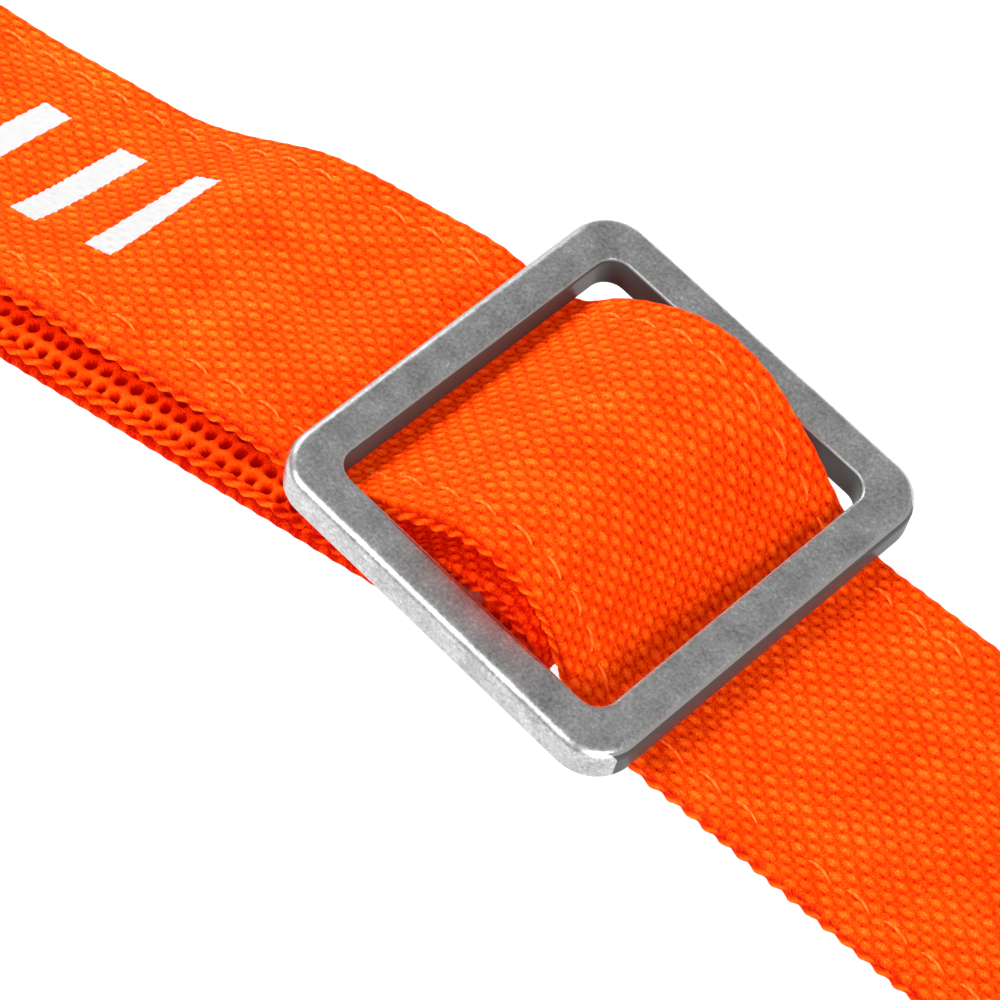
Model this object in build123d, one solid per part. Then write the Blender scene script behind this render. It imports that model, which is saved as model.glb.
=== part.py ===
from build123d import *
import os
from math import atan2, degrees

# Adjustable webbing strap laid out on a flat surface: a square metal slide rides on the middle of it,
# and a swivel snap hook hangs on each end. All sizes are in millimetres. While the pieces are built,
# X runs along the strap, Y across it and Z up, with the slide's centre bar straight above the origin.

# Webbing: a woven face ply sewn to a mesh backing ply
WEB_WIDTH = 25.4
FACE_THICKNESS = 0.9
MESH_THICKNESS = 1.1
WEB_THICKNESS = FACE_THICKNESS + MESH_THICKNESS
HALF_WEB = WEB_THICKNESS / 2
PLY_JOIN = HALF_WEB - FACE_THICKNESS
LAYER_GAP = 0.1

# Slide adjuster
SLIDE_LENGTH = 32.5
SLIDE_WIDTH = 34.5
SLIDE_THICKNESS = 3.1
END_BAR = 3.45
SIDE_BAR = 3.3
SLIDE_CORNER = 3.5
WINDOW_CORNER = 1.6
TOP_ROUND = 0.95
EDGE_ROUND = 0.4
CENTRE_HEIGHT = 7.1
REST_TILT = 12.7
BAR_RADIUS = 1.05
BAR_DROP = 0.45
BAR_SEAT = 2.4

# Heights of the middle of the webbing where it goes up over the centre bar, and the start of each turn
CROWN_TOP = 12.2
CROWN_FROM = -4.5
CROWN_TO = 4.9
CROWN_FOOT = 11.0
CROWN_RADII = [2.5, 12.0, 7.0, 2.2]
LOOP_TOP = 8.75
LOOP_NOSE = 5.7
LOOP_END = -16.5
LOOP_RADII = [3.0, 4.0, 3.8, 3.6]

# Lay of the strap
RETURN_YAW = 6.3
RUN_YAW = -2.3
LEG_START = 15.2
RIGHT_EYE_X = 110.0
LEFT_EYE_X = 100.0
WRAP_LENGTH = 15.0
TAIL_LENGTH = 38.0
STEP_LENGTH = 7.0
LOWER_START = 20.0
CLEAR = 0.4

# Swivel snap hook, from the middle of its strap bar
BAR_HEIGHT = 4.0
EYE_WIRE = 1.8
EYE_REACH = 15.0
EYE_HALF = 15.2
EYE_SHOULDER = 6.0
BARREL_RADIUS = 4.0
BARREL_START = 13.2
BARREL_END = 21.0
BARREL_ROUND = 0.6
STEM_RADIUS = 2.2
RUNNING_GAP = 0.05
TENON_RADIUS = 1.4
WASHER_RADIUS = 3.2
WASHER_START = 11.2
WASHER_ROUND = 0.4
BASE_START = 21.2
BASE_END = 33.0
BASE_HALF_WIDTH = 6.3
BASE_THICKNESS = 6.4
BASE_CORNER = 2.2
BASE_ROUND = 0.9
HOOK_WIRE = 2.6
HOOK_START = (25.0, -3.2)
HOOK_FLARE = 34.0
HOOK_END = 56.5
HOOK_HALF = 8.5
HOOK_BEND = 8.3
TIP_ROUND = 1.2
NOSE_END = 45.5
GATE_PIN_X = 31.0
GATE_PIN_Y = 4.1
GATE_PIN_RADIUS = 1.1
GATE_EYE = 2.4
GATE_WIDTH = 3.2
GATE_THICKNESS = 3.0
GATE_TIP = 49.0
SLOT_HEIGHT = 3.4
SLOT_LOW = -1.2
SLOT_HIGH = 9.0
SPRING_POCKET = 1.9
SPRING_WIRE = 0.25
SPRING_RADIUS = 1.5
SPRING_TURNS = 2
SPRING_PITCH = 0.55

# Sewing thread
STITCH_LENGTH = 2.6
STITCH_PITCH = 3.6
STITCH_WIDTH = 0.45
STITCH_HEIGHT = 0.3
STITCH_INSET = 2.0
STITCH_CLEARANCE = 0.12
TACK_ROWS = 5
TACK_PITCH = 0.9
TACK_WIDTH = 0.5
TACK_START = -15.6
TACK_HALF = 9.0
BOX_HALF = 8.5
BOX_BACK = 25.0
BOX_DIAGONAL = 23.8


def ply_band(side):
    """Low and high distances of a ply from the middle of the webbing, towards its face."""
    return (PLY_JOIN, HALF_WEB) if side == "face" else (-HALF_WEB, PLY_JOIN)


def swept_ply(points, radii, side):
    """Sweep one ply along a route in the XZ plane. The face is on top where the route runs +X."""
    low, high = ply_band(side)
    route = FilletPolyline(*[(x, 0, z) for x, z in points], radius=radii)
    start = Plane(origin=route @ 0, x_dir=(0, 1, 0), z_dir=route % 0)
    section = start * Pos(0, (low + high) / 2) * Rectangle(WEB_WIDTH, high - low)
    return sweep(section, path=route)


def block(x0, x1, y0, y1, z0, z1):
    """A box between two corners."""
    centre = Pos((x0 + x1) / 2, (y0 + y1) / 2, (z0 + z1) / 2)
    return centre * Box(x1 - x0, y1 - y0, z1 - z0)


def rod_x(radius, x0, x1):
    """A round bar along X at the height of the strap bar."""
    return Pos((x0 + x1) / 2, 0, BAR_HEIGHT) * Rot(0, 90, 0) * Cylinder(radius, x1 - x0)


# ---- slide adjuster ----


def tilted(shape):
    """Put a shape built round the slide's own centre where the slide rests."""
    return Pos(0, 0, CENTRE_HEIGHT) * Rot(0, REST_TILT, 0) * shape


def centre_bar():
    length = SLIDE_WIDTH - 2 * SIDE_BAR + 2 * BAR_SEAT
    return Pos(0, 0, -BAR_DROP) * Rot(90, 0, 0) * Cylinder(BAR_RADIUS, length)


def slide_frame():
    """Flat square casting with a soft outer edge and blind seats for the centre bar."""
    outer = extrude(RectangleRounded(SLIDE_LENGTH, SLIDE_WIDTH, SLIDE_CORNER), SLIDE_THICKNESS)
    top_outer = outer.faces().sort_by(Axis.Z)[-1].edges()
    outer = fillet(top_outer, TOP_ROUND)
    bottom_outer = outer.faces().sort_by(Axis.Z)[0].edges()
    outer = fillet(bottom_outer, EDGE_ROUND)
    window = RectangleRounded(SLIDE_LENGTH - 2 * END_BAR, SLIDE_WIDTH - 2 * SIDE_BAR, WINDOW_CORNER)
    frame = outer - extrude(window, SLIDE_THICKNESS)
    window_edges = [face.inner_wires()[0].edges() for face in frame.faces() if face.inner_wires()]
    frame = fillet(window_edges[0] + window_edges[1], EDGE_ROUND)
    frame = Pos(0, 0, -SLIDE_THICKNESS / 2) * frame
    return frame - centre_bar()


# ---- webbing ----

GROUND = HALF_WEB
SECOND = GROUND + WEB_THICKNESS + LAYER_GAP
WRAP_TOP = 2 * BAR_HEIGHT - GROUND
WRAP_RADIUS = BAR_HEIGHT - GROUND


def crown(side):
    """The webbing under the -X bar, over the centre bar and down under the +X bar."""
    points = [
        (-LEG_START, 7.35),
        (-12.6, 7.1),
        (CROWN_FROM, CROWN_TOP),
        (CROWN_TO, CROWN_TOP),
        (CROWN_FOOT, GROUND),
        (LEG_START, GROUND),
    ]
    return swept_ply(points, CROWN_RADII, side)


def loop(side):
    """The webbing's sewn end: along the ground, round the centre bar and back on top of itself."""
    points = [
        (LOOP_END, SECOND),
        (LOOP_END + 6, SECOND),
        (-3.0, LOOP_TOP),
        (LOOP_NOSE, LOOP_TOP),
        (LOOP_NOSE, GROUND),
        (LOOP_END, GROUND),
    ]
    return swept_ply(points, LOOP_RADII, side)


def right_run(side):
    """The single layer that lies flat from the slide to the sewn end."""
    run_end = RIGHT_EYE_X - TAIL_LENGTH - STEP_LENGTH
    low, high = ply_band(side)
    half = WEB_WIDTH / 2
    return block(LEG_START + 1, run_end, -half, half, GROUND + low, GROUND + high)


def right_wrap(side):
    """Up over the folded tail, over the strap bar, round it and back underneath as the tail."""
    start = RIGHT_EYE_X - TAIL_LENGTH - STEP_LENGTH + CLEAR
    tail_end = RIGHT_EYE_X - TAIL_LENGTH
    outside = RIGHT_EYE_X + WRAP_RADIUS
    points = [
        (start, GROUND),
        (start + 1.5, GROUND),
        (tail_end - 0.5, SECOND),
        (RIGHT_EYE_X - 14, SECOND),
        (RIGHT_EYE_X - 5, WRAP_TOP),
        (outside, WRAP_TOP),
        (outside, GROUND),
        (tail_end, GROUND),
    ]
    return swept_ply(points, [3.0, 3.0, 8.0, 5.0, WRAP_RADIUS - 0.01, WRAP_RADIUS - 0.01], side)


def left_wrap(side):
    """The return bend round the other strap bar, built pointing +X."""
    start = LEFT_EYE_X - WRAP_LENGTH
    outside = LEFT_EYE_X + WRAP_RADIUS
    points = [(start, WRAP_TOP), (outside, WRAP_TOP), (outside, GROUND), (start, GROUND)]
    return swept_ply(points, [WRAP_RADIUS - 0.01, WRAP_RADIUS - 0.01], side)


def lower_run(side):
    """The return layer on the ground, mesh side up, built pointing +X."""
    low, high = ply_band(side)
    half = WEB_WIDTH / 2
    return block(LOWER_START, LEFT_EYE_X - WRAP_LENGTH - CLEAR, -half, half, GROUND - high, GROUND - low)


# Height of the middle of the upper layer at its two edges, by distance from the slide's centre:
# the edge at +Y stays up off the lower layer and the edge at -Y sags down onto it
UPPER_STATIONS = [
    (17.8, 7.9, 7.9),
    (26.0, 8.3, 8.4),
    (36.0, 8.3, 7.8),
    (49.0, 8.0, SECOND + 0.3),
    (62.0, 7.4, SECOND + 0.3),
    (75.0, 7.1, 5.6),
    (LEFT_EYE_X - WRAP_LENGTH - CLEAR, WRAP_TOP, WRAP_TOP),
]


def upper_run(side):
    """The upper layer of the return, twisted so that one edge stands off, built pointing +X."""
    low, high = ply_band(side)
    half = WEB_WIDTH / 2
    sections = []
    for x, plus, minus in UPPER_STATIONS:
        under = [(x, half, plus + low), (x, -half, minus + low)]
        over = [(x, -half, minus + high), (x, half, plus + high)]
        sections.append(make_face(Polyline(*under, *over, close=True)))
    return loft(sections, ruled=True)


def upper_height(x, y):
    """Height of the middle of the upper layer at a point of its plan."""
    share = y / WEB_WIDTH + 0.5
    for (x0, plus0, minus0), (x1, plus1, minus1) in zip(UPPER_STATIONS, UPPER_STATIONS[1:]):
        if x <= x1:
            along = (x - x0) / (x1 - x0)
            plus = plus0 + (plus1 - plus0) * along
            minus = minus0 + (minus1 - minus0) * along
            return minus + (plus - minus) * share
    return WRAP_TOP


# ---- sewing ----


def stitch(x, y, z, slope=0.0):
    """One stitch of thread lying on the webbing."""
    lift = z + STITCH_HEIGHT / 2
    return Pos(x, y, lift) * Rot(0, slope, 0) * Box(STITCH_LENGTH, STITCH_WIDTH, STITCH_HEIGHT)


def stitch_places(x0, x1):
    count = int((x1 - x0) / STITCH_PITCH)
    return [x0 + (k + 0.5) * STITCH_PITCH for k in range(count)]


def right_run_stitches():
    row = WEB_WIDTH / 2 - STITCH_INSET
    places = stitch_places(LEG_START + 1.5, RIGHT_EYE_X - TAIL_LENGTH - STEP_LENGTH - 1)
    return Compound([stitch(x, y, WEB_THICKNESS) for y in (-row, row) for x in places])


def upper_run_stitches():
    """Two rows that follow the twisted upper layer, built pointing +X."""
    row = WEB_WIDTH / 2 - STITCH_INSET
    reach = STITCH_LENGTH / 2
    made = []
    for y in (-row, row):
        for x in stitch_places(UPPER_STATIONS[0][0], LEFT_EYE_X - WRAP_LENGTH - 1):
            rise = upper_height(x + reach, y) - upper_height(x - reach, y)
            top = upper_height(x, y) + HALF_WEB + STITCH_CLEARANCE
            made.append(stitch(x, y, top, -degrees(atan2(rise, STITCH_LENGTH))))
    return Compound(made)


def loop_bartacks():
    """Close rows of thread across the sewn end of the loop."""
    top = SECOND + HALF_WEB
    made = []
    for k in range(TACK_ROWS):
        x = TACK_START + k * TACK_PITCH
        made.append(block(x, x + TACK_WIDTH, -TACK_HALF, TACK_HALF, top, top + STITCH_HEIGHT))
    return Compound(made)


def right_box_stitch():
    """A sewn square with crossed diagonals through the strap and its folded tail."""
    side = Box(2 * BOX_HALF + STITCH_WIDTH, STITCH_WIDTH, STITCH_HEIGHT)
    diagonal = Box(BOX_DIAGONAL, STITCH_WIDTH, STITCH_HEIGHT)
    pattern = Rot(0, 0, 45) * diagonal + Rot(0, 0, -45) * diagonal
    for turn in (0, 90, 180, 270):
        pattern += Rot(0, 0, turn) * Pos(0, BOX_HALF, 0) * side
    return Pos(RIGHT_EYE_X - BOX_BACK, 0, SECOND + HALF_WEB + STITCH_HEIGHT / 2) * pattern


# ---- swivel snap hook, built pointing +X from its strap bar ----


def eye():
    """Bent ring with a straight strap bar and a barrel that the hook's stem turns in."""
    outline = [
        (0, EYE_HALF),
        (EYE_SHOULDER, EYE_HALF),
        (EYE_REACH, BARREL_RADIUS),
        (EYE_REACH, -BARREL_RADIUS),
        (EYE_SHOULDER, -EYE_HALF),
        (0, -EYE_HALF),
    ]
    corners = [2.6, 3.5, 3.0, 3.0, 3.5, 2.6]
    route = FilletPolyline(*[(x, y, BAR_HEIGHT) for x, y in outline], radius=corners, close=True)
    start = Plane(origin=route @ 0, z_dir=route % 0)
    ring = sweep(start * Circle(EYE_WIRE), path=route)
    barrel = fillet(rod_x(BARREL_RADIUS, BARREL_START, BARREL_END).edges(), BARREL_ROUND)
    return ring + barrel - rod_x(STEM_RADIUS + RUNNING_GAP, BARREL_START - 5, BARREL_END + 1)


def stem_washer():
    """Washer riveted on the end of the stem, which keeps the hook in the eye."""
    washer_end = BARREL_START - 0.1
    disc = fillet(rod_x(WASHER_RADIUS, WASHER_START, washer_end).edges(), WASHER_ROUND)
    return disc - rod_x(TENON_RADIUS, WASHER_START - 1, washer_end + 1)


def gate_axis_rod(radius, z0, z1):
    """A round bar along Z on the gate's axis."""
    return Pos(GATE_PIN_X, GATE_PIN_Y, (z0 + z1) / 2) * Cylinder(radius, z1 - z0)


def hook_body():
    """Stem, slotted base and round hook in one casting."""
    low = BAR_HEIGHT - BASE_THICKNESS / 2
    high = BAR_HEIGHT + BASE_THICKNESS / 2
    base = block(BASE_START, BASE_END, -BASE_HALF_WIDTH, BASE_HALF_WIDTH, low, high)
    base = fillet(base.edges().filter_by(Axis.Z), BASE_CORNER)
    ends = base.faces().sort_by(Axis.Z)
    base = fillet(ends[-1].edges() + ends[0].edges(), BASE_ROUND)
    outline = [
        HOOK_START,
        (HOOK_FLARE, -HOOK_HALF),
        (HOOK_END, -HOOK_HALF),
        (HOOK_END, HOOK_HALF),
        (NOSE_END, HOOK_HALF),
    ]
    route = FilletPolyline(*[(x, y, BAR_HEIGHT) for x, y in outline], radius=[8.0, HOOK_BEND, HOOK_BEND])
    start = Plane(origin=route @ 0, z_dir=route % 0)
    hook = sweep(start * Circle(HOOK_WIRE), path=route)
    tip_face = hook.faces().sort_by_distance((NOSE_END, HOOK_HALF, BAR_HEIGHT))[0]
    hook = fillet(tip_face.edges(), TIP_ROUND)
    body = base + hook
    slot_start = GATE_PIN_X - GATE_EYE - 0.3
    slot_z = SLOT_HEIGHT / 2
    body -= block(slot_start, BASE_END + 3, SLOT_LOW, SLOT_HIGH, BAR_HEIGHT - slot_z, BAR_HEIGHT + slot_z)
    body -= gate_axis_rod(GATE_PIN_RADIUS, low - 1, high + 1)
    body += rod_x(STEM_RADIUS, BARREL_START - 0.1, BASE_START + 1)
    return body + rod_x(TENON_RADIUS, WASHER_START, BARREL_START)


def gate():
    """Spring-loaded lever that closes the hook's mouth from inside."""
    half = GATE_THICKNESS / 2
    low = BAR_HEIGHT - half
    high = BAR_HEIGHT + half
    bar = block(GATE_PIN_X, GATE_TIP, GATE_PIN_Y - GATE_WIDTH / 2, GATE_PIN_Y + GATE_WIDTH / 2, low, high)
    lever = bar + gate_axis_rod(GATE_EYE, low, high)
    tip_edges = lever.edges().filter_by(Axis.Z).sort_by(Axis.X)[-2:]
    lever = fillet(tip_edges, TIP_ROUND)
    lever -= gate_axis_rod(GATE_PIN_RADIUS + RUNNING_GAP, low - 1, high + 1)
    return lever - gate_axis_rod(SPRING_POCKET, BAR_HEIGHT, high + 1)


def gate_pin():
    half = BASE_THICKNESS / 2
    return gate_axis_rod(GATE_PIN_RADIUS, BAR_HEIGHT - half, BAR_HEIGHT + half)


def gate_spring():
    """Turns of the torsion spring in the gate's pocket, round the pin."""
    first = BAR_HEIGHT + SPRING_WIRE + 0.05
    turn = Torus(SPRING_RADIUS, SPRING_WIRE)
    heights = [first + k * SPRING_PITCH for k in range(SPRING_TURNS)]
    return Compound([Pos(GATE_PIN_X, GATE_PIN_Y, z) * turn for z in heights])


HOOK_PIECES = {
    "eye": eye,
    "hook_body": hook_body,
    "stem_washer": stem_washer,
    "gate": gate,
    "gate_pin": gate_pin,
    "gate_spring": gate_spring,
}


# ---- assembly ----


def left_side(shape):
    """Turn a piece built pointing +X to the return side of the strap."""
    return Rot(0, 0, 180 + RETURN_YAW) * shape


def right_side(shape):
    """Turn a piece to the direction of the single run."""
    return Rot(0, 0, RUN_YAW) * shape


def build_nodes():
    nodes = {"slide_frame": tilted(slide_frame()), "centre_bar": tilted(centre_bar())}
    for side in ("face", "mesh"):
        nodes[f"crown_{side}"] = crown(side)
        nodes[f"loop_{side}"] = loop(side)
        nodes[f"right_run_{side}"] = right_side(right_run(side))
        nodes[f"right_wrap_{side}"] = right_side(right_wrap(side))
        nodes[f"upper_run_{side}"] = left_side(upper_run(side))
        nodes[f"lower_run_{side}"] = left_side(lower_run(side))
        nodes[f"left_wrap_{side}"] = left_side(left_wrap(side))
    nodes["right_run_stitches"] = right_side(right_run_stitches())
    nodes["upper_run_stitches"] = left_side(upper_run_stitches())
    nodes["loop_bartacks"] = loop_bartacks()
    nodes["right_box_stitch"] = right_side(right_box_stitch())
    for name, make in HOOK_PIECES.items():
        piece = make()
        nodes[f"right_{name}"] = right_side(Pos(RIGHT_EYE_X, 0, 0) * piece)
        nodes[f"left_{name}"] = left_side(Pos(LEFT_EYE_X, 0, 0) * piece)
    return nodes


def to_origin(nodes):
    """The move that puts the origin under the middle of the whole strap, on the surface it lies on."""
    box = Compound(list(nodes.values())).bounding_box()
    return Pos(-box.center().X, -box.center().Y, 0)


def main():
    nodes = build_nodes()
    move = to_origin(nodes)
    os.makedirs("parts", exist_ok=True)
    for name, shape in nodes.items():
        export_step(move * shape, f"parts/{name}.step")


main()
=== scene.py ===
import math

import bpy
import numpy as np
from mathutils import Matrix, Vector


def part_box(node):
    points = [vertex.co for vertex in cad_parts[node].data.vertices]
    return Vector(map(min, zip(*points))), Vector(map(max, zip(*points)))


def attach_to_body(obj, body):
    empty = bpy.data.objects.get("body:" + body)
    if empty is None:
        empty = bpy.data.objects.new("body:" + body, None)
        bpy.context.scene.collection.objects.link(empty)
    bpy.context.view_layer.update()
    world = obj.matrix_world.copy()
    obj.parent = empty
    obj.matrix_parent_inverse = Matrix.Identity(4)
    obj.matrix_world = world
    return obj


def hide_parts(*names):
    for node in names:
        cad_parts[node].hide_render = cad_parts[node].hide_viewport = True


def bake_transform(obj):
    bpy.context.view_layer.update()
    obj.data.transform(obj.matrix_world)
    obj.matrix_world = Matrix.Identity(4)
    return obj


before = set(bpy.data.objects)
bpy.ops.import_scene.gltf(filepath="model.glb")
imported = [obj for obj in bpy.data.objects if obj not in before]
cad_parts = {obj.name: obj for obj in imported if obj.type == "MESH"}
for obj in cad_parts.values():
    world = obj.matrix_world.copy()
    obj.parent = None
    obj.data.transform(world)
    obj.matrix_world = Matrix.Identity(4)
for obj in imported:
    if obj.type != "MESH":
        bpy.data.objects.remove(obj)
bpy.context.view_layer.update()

# Lengths are in millimetres up to the point where a mesh is made, and MM turns them into metres.
MM = 0.001

# ---- places taken from the frame ----

bar_low, bar_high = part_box("centre_bar")
BAR_DROP = 0.45
TILT = math.radians(12.7)
ORIGIN_X = (bar_low.x + bar_high.x) / 2 / MM + BAR_DROP * math.sin(TILT)
ORIGIN_Y = (bar_low.y + bar_high.y) / 2 / MM
CENTRE_HEIGHT = (bar_low.z + bar_high.z) / 2 / MM + BAR_DROP * math.cos(TILT)

# ---- webbing sizes ----

WEB_WIDTH = 25.3
HALF_WIDTH = WEB_WIDTH / 2
FACE_THICKNESS = 0.9
WEB_THICKNESS = 2.0
WEFT_PITCH = 0.86
WARP_PITCH = WEB_WIDTH / 39
SAMPLES = 4
ROW_STEP = WEFT_PITCH / SAMPLES
PRINT_START = 8.0
PRINT_COUNT = 3
PRINT_PITCH = 7.5
PRINT_BAR = 2.6
PRINT_HALF = 5.5
WINDOW_X = 13.0
WINDOW_Y = 14.15
LOOP_LEAN = 0.8
LEAN_START = 10.0
LEAN_LENGTH = 18.0
RIGHT_EYE = 110.0
LEFT_EYE = -100.0
EYE_HEIGHT = 4.0
WRAP_RADIUS = 4.0
DOME_HEIGHT = 0.24
FACE_REACH = HALF_WIDTH - 0.5
MESH_PITCH = 1.42
MESH_ROW = WEB_WIDTH / 18
MESH_REACH = HALF_WIDTH - 0.7
STITCH_INSET = 2.5
STITCH_PITCH = 3.4
STITCH_LENGTH = 2.3
THREAD_RADIUS = 0.12
CROWN_SINK = 0.07
# Painted shade where layers above keep the light off: how much it lowers the colour ramp, where it
# starts and how far it grows across the lower run, and how much the loop gets
SHADE_DEPTH = 0.6
SHADE_START = 2.0
SHADE_REACH = 1.6
LOOP_SHADE = 0.65
CORD_TWIST = 3.2
POINTS_PER_SPAN = 60

# The strap turns a little in plan as it passes through the slide, from one yaw to the other
RIGHT_YAW = math.radians(-2.3)
LEFT_YAW = math.radians(6.3)
TURN_START = 11.0
TURN_END = -8.0
SIDE_SHIFT = 0.3
PLAN_FIRST, PLAN_LAST, PLAN_STEP = -130.0, 140.0, 0.1


# ---- the webbing's route ----


def arc(x, z, radius, first, last, count=9):
    """Points round a centre, the same on both edges, from one angle to another in degrees."""
    turns = np.radians(np.linspace(first, last, count))
    return [(x + radius * math.cos(a), z + radius * math.sin(a)) * 2 for a in turns]


def level(z, *places):
    """Points at one height, the same on both edges."""
    return [(x, z, x, z) for x in places]


# Each stretch is a list of (distance, height) of the face side at the far edge, then the same at
# the near edge. Distances run along the strap from the slide's centre. The strap goes from its
# folded tail on the right, over the slide, to the left eye and back, and ends in the loop sewn round
# the centre bar.
ROUTE = {
    "right_end": level(0.0, 72, 82, 92, 102)
    + arc(RIGHT_EYE, EYE_HEIGHT, WRAP_RADIUS, -90, 90)
    + level(7.6, 105)
    + level(4.2, 97.5)
    + level(4.1, 94, 84, 74)
    + level(2.15, 68.5),
    "right_run": level(2.0, 64, 54, 44, 34),
    "right_foot": level(2.0, 26, 20),
    "crown": [
        (15.6, 2.0, 14.2, 2.0),
        (12.9, 2.7, 11.2, 2.7),
        (10.7, 5.1, 9.4, 5.0),
        (8.9, 7.8, 8.4, 7.8),
        (6.9, 10.1, 7.0, 9.9),
        (4.6, 12.4, 4.9, 11.5),
        (1.8, 13.7, 1.8, 12.5),
        (-1.5, 13.7, -2.3, 12.6),
        (-4.4, 12.7, -5.9, 11.7),
        (-7.6, 11.0, -10.2, 10.2),
        (-11.1, 8.5, -13.6, 8.4),
    ],
    "left_foot": [(-14.0, 8.1, -16.4, 8.3), (-18.6, 9.4, -21.2, 9.2), (-25.0, 9.45, -27.0, 9.35)],
    "upper_run": [
        (-31.0, 9.3, -33.0, 9.3),
        (-35.0, 8.7, -37.5, 9.5),
        (-39.0, 7.3, -42.0, 9.7),
        (-43.0, 5.8, -46.0, 9.8),
        (-47.5, 4.6, -50.0, 9.8),
        (-55.0, 4.5, -57.0, 9.5),
        (-63.0, 4.5, -64.0, 9.0),
        (-71.0, 5.3, -71.0, 8.3),
        (-79.0, 6.8, -79.0, 8.1),
    ],
    "left_wrap": level(7.9, -88)
    + level(8.0, -94)
    + arc(LEFT_EYE, EYE_HEIGHT, WRAP_RADIUS, 90, 270)
    + level(0.0, -94),
    "lower_run": level(0.0, -86, -76, -66, -56, -46, -36, -28),
    "loop": level(0.0, -20, -12, -4)
    + arc(2.1, 4.6, 4.6, -90, 0, 6)
    + arc(1.9, 4.9, 4.8, 20, 70, 4)
    + [(0.0, 9.75, 0.0, 9.45), (-2.6, 9.3, -2.6, 9.0), (-6.0, 7.3, -6.0, 7.2), (-9.5, 4.9, -9.5, 4.9)]
    + level(4.15, -12.5)
    + level(4.1, -14.5, -16.5),
}


# Shallow dips and swells of the upper layer: the stretch, the distance into it, the distance across, the
# depth, and how far it reaches along and across
FOLDS = [
    ("left_foot", 10.0, 3.0, -0.9, 4.5, 5.5),
    ("upper_run", 5.5, 4.5, 0.7, 4.0, 5.5),
    ("upper_run", 17.0, -3.0, -0.5, 7.0, 6.0),
    ("upper_run", 32.0, 2.0, 0.5, 8.0, 6.0),
    ("right_run", 12.0, 1.0, 0.25, 8.0, 6.0),
]


def smooth_curve(points):
    """A Catmull-Rom curve through all the points, with chord-length knots."""
    points = np.array(points, float)
    chord = np.linalg.norm(np.diff(points, axis=0), axis=1) ** 0.5
    knots = np.concatenate([[0], np.cumsum(chord)])
    slopes = np.gradient(points, knots, axis=0)
    found = []
    for k in range(len(points) - 1):
        step = knots[k + 1] - knots[k]
        t = np.linspace(0, 1, POINTS_PER_SPAN, endpoint=False)[:, None]
        h00 = 2 * t**3 - 3 * t**2 + 1
        h10 = t**3 - 2 * t**2 + t
        h01 = -2 * t**3 + 3 * t**2
        h11 = t**3 - t**2
        here, following = points[k], points[k + 1]
        found.append(h00 * here + h10 * step * slopes[k] + h01 * following + h11 * step * slopes[k + 1])
    return np.vstack(found + [points[-1:]])


def plan_table():
    """Distance along the strap, and the X, Y and yaw of its middle there."""
    u = np.arange(PLAN_FIRST, PLAN_LAST, PLAN_STEP)
    share = np.clip((TURN_START - u) / (TURN_START - TURN_END), 0, 1)
    yaw = RIGHT_YAW + (LEFT_YAW - RIGHT_YAW) * share
    x = np.concatenate([[0], np.cumsum(np.cos(yaw[1:]) * PLAN_STEP)])
    y = np.concatenate([[0], np.cumsum(np.sin(yaw[1:]) * PLAN_STEP)])
    x -= np.interp(TURN_START, u, x) - TURN_START * math.cos(RIGHT_YAW)
    y -= np.interp(TURN_START, u, y) - TURN_START * math.sin(RIGHT_YAW) - SIDE_SHIFT
    return u, x, y, yaw


PLAN = plan_table()


def edge_points(u, z, side):
    """Places of one edge of the strap, side +1 for the far edge and -1 for the near edge."""
    grid, x, y, yaw = PLAN
    turn = np.interp(u, grid, yaw)
    px = np.interp(u, grid, x) - side * HALF_WIDTH * np.sin(turn)
    py = np.interp(u, grid, y) + side * HALF_WIDTH * np.cos(turn)
    return np.stack([px + ORIGIN_X, py + ORIGIN_Y, z], -1)


def lay_out():
    """Both edges of the whole strap at every row of the weave, and the first row of each stretch."""
    stations = [point for stretch in ROUTE.values() for point in stretch]
    curve = smooth_curve(stations)
    far = edge_points(curve[:, 0], curve[:, 1], 1)
    near = edge_points(curve[:, 2], curve[:, 3], -1)
    middle = (far + near) / 2
    length = np.concatenate([[0], np.cumsum(np.linalg.norm(np.diff(middle, axis=0), axis=1))])
    rows = np.arange(0, int(length[-1] / ROW_STEP) + 1) * ROW_STEP
    far = np.stack([np.interp(rows, length, far[:, k]) for k in range(3)], -1)
    near = np.stack([np.interp(rows, length, near[:, k]) for k in range(3)], -1)
    starts = {}
    station = 0
    for name, stretch in ROUTE.items():
        starts[name] = int(round(length[min(station * POINTS_PER_SPAN, len(length) - 1)] / ROW_STEP))
        station += len(stretch)
    lean = np.clip((rows - starts["loop"] * ROW_STEP - LEAN_START) / LEAN_LENGTH, 0, 1)
    far[:, 1] -= LOOP_LEAN * lean
    near[:, 1] -= LOOP_LEAN * lean
    return far, near, starts


FAR, NEAR, STARTS = lay_out()
ROWS = len(FAR)
NAMES = list(ROUTE)
# Rows on each side over which the strap's own direction is measured
NORMAL_REACH = 3


def stretch_rows(name):
    """First and last row of a stretch. Neighbours share a row, so they meet."""
    following = NAMES.index(name) + 1
    last = STARTS[NAMES[following]] if following < len(NAMES) else ROWS - 1
    return STARTS[name], last


def fold_height(row, across):
    """How far the folds lift the strap at each point."""
    total = 0.0 * across
    for name, into, middle, depth, reach_along, reach_across in FOLDS:
        off_along = ((row - STARTS[name]) * ROW_STEP - into) / reach_along
        off_across = (across - middle) / reach_across
        total += depth * np.exp(-off_along * off_along - off_across * off_across)
    return total


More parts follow.
